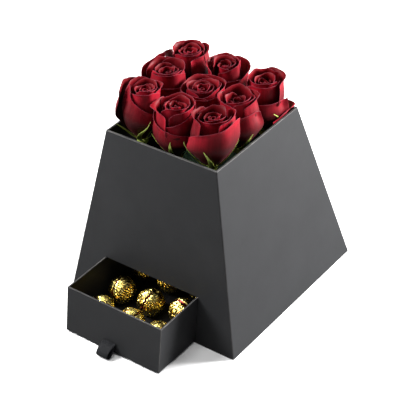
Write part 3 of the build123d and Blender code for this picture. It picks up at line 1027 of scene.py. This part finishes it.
def thorned_stem(low, high, seed):
    """A stem that is cut slantwise at its foot, with a few thorns."""
    draw = random.Random(seed)
    foot = centre(low, high)
    radius, height = (high.x - low.x) / 2, high.z - low.z
    middle = foot + Vector((0, 0, height / 2))
    nothing()
    bpy.ops.mesh.primitive_cylinder_add(vertices=14, radius=radius, depth=height, location=middle)
    stem = bpy.context.object
    bpy.ops.object.transform_apply(location=True, rotation=False, scale=False)
    bpy.ops.object.mode_set(mode="EDIT")
    bpy.ops.mesh.select_all(action="SELECT")
    cut = foot + Vector((0, 0, radius))
    bpy.ops.mesh.bisect(plane_co=cut, plane_no=(0, 0.7, 0.7), use_fill=True, clear_inner=True)
    bpy.ops.object.mode_set(mode="OBJECT")
    pieces = [stem]
    for _ in range(3):
        level = foot.z + height * draw.uniform(0.62, 0.92)
        angle = draw.uniform(0, 2 * math.pi)
        out = Vector((math.cos(angle), math.sin(angle), 0.25))
        nothing()
        bpy.ops.mesh.primitive_cone_add(vertices=8, radius1=1.1 * MM, radius2=0.08 * MM, depth=3.4 * MM)
        thorn = bpy.context.object
        at = Vector((foot.x, foot.y, level)) + out * (radius + 1.1 * MM)
        thorn.data.transform(Matrix.Translation(at) @ out.to_track_quat("Z", "Y").to_matrix().to_4x4())
        pieces.append(thorn)
    stem = joined(pieces)
    only(stem)
    bpy.ops.object.shade_smooth_by_angle(angle=math.radians(40))
    return stem


class FLOWERBOX_OT_stems(bpy.types.Operator):
    """Models the stems that stand in the foam"""

    bl_idname = "flowerbox.stems"
    bl_label = "Stems"

    def execute(self, context):
        material = green_material("Green stems", look("rose").stem, 0.42)
        for number in range(1, len(ROSES) + 1):
            node = f"rose_stem_{number}"
            stem = thorned_stem(*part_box(node), 70 + number)
            finish_piece(stem, f"stem_{number}", material, "arrangement", node)
        return {"FINISHED"}


# --- Stage ----------------------------------------------------------------------------------------
CAMERA_TURN = math.radians(39.2)  # from the front, towards the right wall
CAMERA_RISE = math.radians(35.6)
CAMERA_ROLL = math.radians(-3.7)
AIM = Vector((-0.0063, -0.0047, 0.0936))  # the point that the camera looks at
FLOOR_SIZE = 12
FADE_START, FADE_END = 0.6, 1.7  # where the floor, as the camera sees it, turns into plain white
AMBIENT = 0.12  # strength of the pale room, except where the camera looks at it
LIGHTS = {  # power in watts, side in metres, place, and the point that it faces
    "right softbox": (158.0, 0.6, (1.08, 1.26, 0.74), (0.07, 0.0, 0.2)),
    "left softbox": (10.5, 0.35, (-0.48, -0.36, 0.55), (-0.07, -0.07, 0.25)),
    "top softbox": (28.0, 1.6, (0.0, -0.3, 2.5), (0.0, -0.2, 0.0)),
}


def area_light(name, power, size, place, aim):
    """A soft, white, square light that faces a point."""
    nothing()
    bpy.ops.object.light_add(type="AREA", location=place)
    light = bpy.context.object
    light.name = name
    light.data.energy = power
    light.data.shape = "SQUARE"
    light.data.size = size
    light.rotation_euler = (Vector(aim) - Vector(place)).to_track_quat("-Z", "Y").to_euler()


class FLOWERBOX_OT_stage(bpy.types.Operator):
    """Adds the pale floor, the soft lights and the camera"""

    bl_idname = "flowerbox.stage"
    bl_label = "Floor, lights and camera"

    def execute(self, context):
        settings = look("stage")
        nothing()
        bpy.ops.mesh.primitive_plane_add(size=FLOOR_SIZE, location=(0, 0, 0))
        floor = bpy.context.object
        floor.name = "floor"
        material, tree, shader, vector = new_material("Pale floor")
        seen = add(tree, "ShaderNodeLightPath").outputs["Is Camera Ray"]
        away = add(tree, "ShaderNodeVectorMath", {0: vector}, operation="LENGTH").outputs["Value"]
        far = maths(tree, "MULTIPLY", ramp(tree, away, FADE_START, FADE_END), seen)
        dim = tuple(settings.bounce * c for c in settings.floor)
        connect(
            tree,
            shader,
            Base_Color=mixed(tree, seen, dim, tuple(settings.floor)),
            Emission_Color=mixed(tree, far, (0.0, 0.0, 0.0), (1.0, 1.0, 1.0)),
            Emission_Strength=1.0,
            Roughness=0.9,
        )
        floor.data.materials.append(material)

        world = bpy.data.worlds.new("Pale room")
        world.use_nodes = True
        sky = world.node_tree.nodes["Background"]
        sky.inputs["Color"].default_value = (1.0, 1.0, 1.0, 1.0)
        seen = add(world.node_tree, "ShaderNodeLightPath").outputs["Is Camera Ray"]
        put(world.node_tree, sky.inputs["Strength"], maths(world.node_tree, "MAXIMUM", seen, AMBIENT))
        context.scene.world = world
        for name, numbers in LIGHTS.items():
            area_light(name, *numbers)

        level = math.cos(CAMERA_RISE)
        towards = (math.sin(CAMERA_TURN) * level, -math.cos(CAMERA_TURN) * level, math.sin(CAMERA_RISE))
        back = Vector(towards)
        nothing()
        bpy.ops.object.camera_add(location=AIM + back * settings.distance)
        camera = bpy.context.object
        camera.rotation_mode = "QUATERNION"
        upright = (-back).to_track_quat("-Z", "Y").to_matrix()
        camera.rotation_quaternion = (upright @ Matrix.Rotation(CAMERA_ROLL, 3, "Z")).to_quaternion()
        camera.data.lens = settings.lens / MM
        camera.data.sensor_width = 36
        context.scene.camera = camera
        context.scene.view_settings.view_transform = "Standard"
        return {"FINISHED"}


# --- Panel and start ------------------------------------------------------------------------------
OPERATORS = (
    FLOWERBOX_OT_boards,
    FLOWERBOX_OT_ribbon,
    FLOWERBOX_OT_chocolates,
    FLOWERBOX_OT_foam,
    FLOWERBOX_OT_roses,
    FLOWERBOX_OT_calyxes,
    FLOWERBOX_OT_stems,
    FLOWERBOX_OT_stage,
)
LOOKS = {"box": BoxLook, "rose": RoseLook, "chocolate": ChocolateLook, "stage": StageLook}


class FLOWERBOX_PT_panel(bpy.types.Panel):
    """Lists the steps and their settings"""

    bl_label = "Flower box"
    bl_idname = "FLOWERBOX_PT_panel"
    bl_space_type = "VIEW_3D"
    bl_region_type = "UI"
    bl_category = "Flower box"

    def draw(self, context):
        for name, kind in LOOKS.items():
            part = self.layout.box()
            part.label(text=kind.__doc__)
            for key in kind.__annotations__:
                part.prop(look(name), key)
        for operator in OPERATORS:
            self.layout.operator(operator.bl_idname)


def register():
    """Registers the classes and gives the scene its settings."""
    for cls in (*LOOKS.values(), *OPERATORS, FLOWERBOX_PT_panel):
        bpy.utils.register_class(cls)
    for name, kind in LOOKS.items():
        setattr(bpy.types.Scene, "flower_box_" + name, bpy.props.PointerProperty(type=kind))


def unregister():
    """Takes the settings and the classes away again."""
    for name in LOOKS:
        delattr(bpy.types.Scene, "flower_box_" + name)
    for cls in reversed((*LOOKS.values(), *OPERATORS, FLOWERBOX_PT_panel)):
        bpy.utils.unregister_class(cls)


def main():
    """Builds every piece and the stage."""
    register()
    bpy.ops.flowerbox.boards()
    bpy.ops.flowerbox.ribbon()
    bpy.ops.flowerbox.chocolates()
    bpy.ops.flowerbox.foam()
    bpy.ops.flowerbox.roses()
    bpy.ops.flowerbox.calyxes()
    bpy.ops.flowerbox.stems()
    bpy.ops.flowerbox.stage()


if __name__ == "__main__":
    main()
